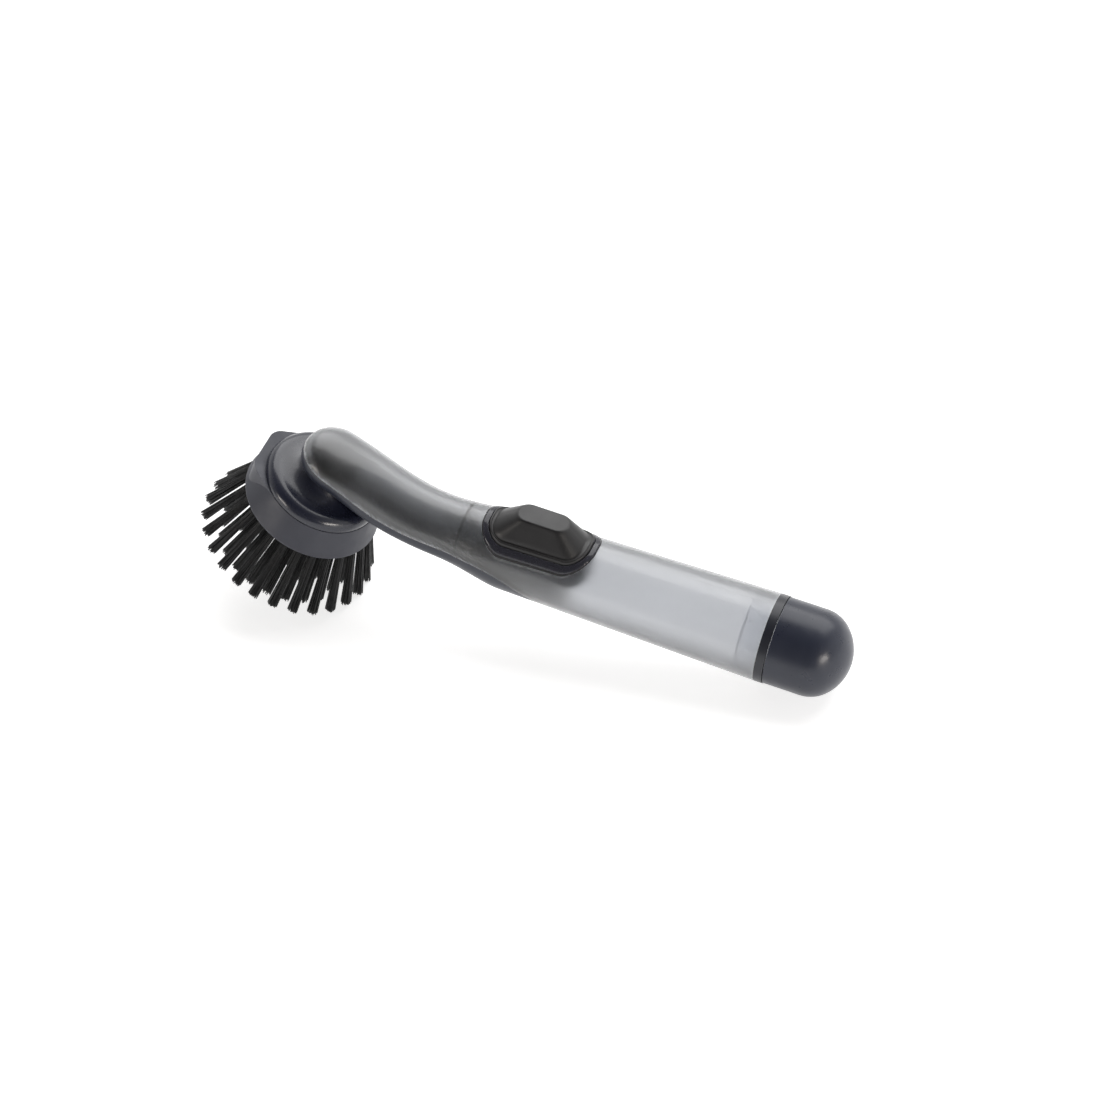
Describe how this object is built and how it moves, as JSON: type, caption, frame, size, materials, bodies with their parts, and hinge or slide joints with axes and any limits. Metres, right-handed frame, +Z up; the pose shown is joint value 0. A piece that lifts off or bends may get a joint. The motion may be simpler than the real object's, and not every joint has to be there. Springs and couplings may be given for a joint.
{
  "type": "soap dispensing dish wand",
  "caption": "Dish wand with a hollow translucent handle for washing-up liquid, a pump button, a screw cap at its end and a round bristle head with a scraper lip on a raised neck.",
  "frame": {"origin": "on the surface the wand lies on, under the middle of its bounding box", "axes": "+X along the wand towards the screw cap, +Y across it, +Z up with the button on top; the wand lies on its rear tufts and the cap's shoulder"},
  "size_m": [0.2798, 0.0778, 0.0784],
  "materials": {
    "smoke_plastic": "translucent smoke grey, glossy",
    "dark_plastic": "glossy dark grey",
    "collar_plastic": "glossy mid grey",
    "cap_plastic": "satin charcoal",
    "bezel_plastic": "glossy lilac grey",
    "button_rubber": "matte black",
    "seal_rubber": "soft, matte",
    "hose_rubber": "soft, milky",
    "inner_plastic": "moulded, unpolished",
    "bell_plastic": "glossy near black",
    "base_plastic": "matte slate grey",
    "bristle": "black nylon filaments",
    "anchor_metal": "drawn wire"
  },
  "bodies": {
    "handle": {"handle_shell": "smoke_plastic", "neck_cover": "dark_plastic", "filler_collar": "smoke_plastic", "collar_band": "collar_plastic", "button_bezel": "bezel_plastic", "button_skirt": "button_rubber", "pump_chamber": "inner_plastic", "delivery_hose": "hose_rubber", "valve_housing": "inner_plastic", "head_mount": "bell_plastic", "slit_valve": "seal_rubber", "valve_retainer": "inner_plastic", "mount_o_ring": "seal_rubber"},
    "button": {"push_button": "button_rubber"},
    "flap": {"inlet_flap": "inner_plastic"},
    "gasket": {"cap_gasket": "seal_rubber"},
    "cap": {"end_cap": "cap_plastic", "cap_insert": "inner_plastic", "vent_valve": "seal_rubber"},
    "head": {"brush_base": "base_plastic", "outer_tufts": "bristle", "second_tufts": "bristle", "third_tufts": "bristle", "inner_tufts": "bristle", "tuft_anchors": "anchor_metal"}
  },
  "joints": [
    {"name": "button_press", "type": "slide", "parent": "handle", "child": "button", "axis": [-0.1497, 0, -0.9887], "range_m": [0, 0.004], "stiffness_N_per_m": 1500, "deforming": ["button_skirt"]},
    {"name": "inlet_flap_swing", "type": "hinge", "parent": "handle", "child": "flap", "pos_m": [0.01673, 0, 0.03444], "axis": [0, 1, 0], "range_deg": [0, 35], "stiffness_Nm_per_rad": 0.0004},
    {"name": "cap_lift", "type": "slide", "parent": "handle", "child": "gasket", "axis": [0.9887, 0, -0.1497], "range_m": [0, 0.0064]},
    {"name": "cap_turn", "type": "hinge", "parent": "gasket", "child": "cap", "pos_m": [0.10858, 0, 0.02053], "axis": [0.9887, 0, -0.1497], "range_deg": [0, 720]},
    {"name": "head_pull", "type": "slide", "parent": "handle", "child": "head", "axis": [-0.4666, 0, -0.8845], "range_m": [0, 0.02]}
  ],
  "couplings": [
    {"joint": "cap_lift", "follows": "cap_turn", "m_per_rad": 0.0005093}
  ]
}
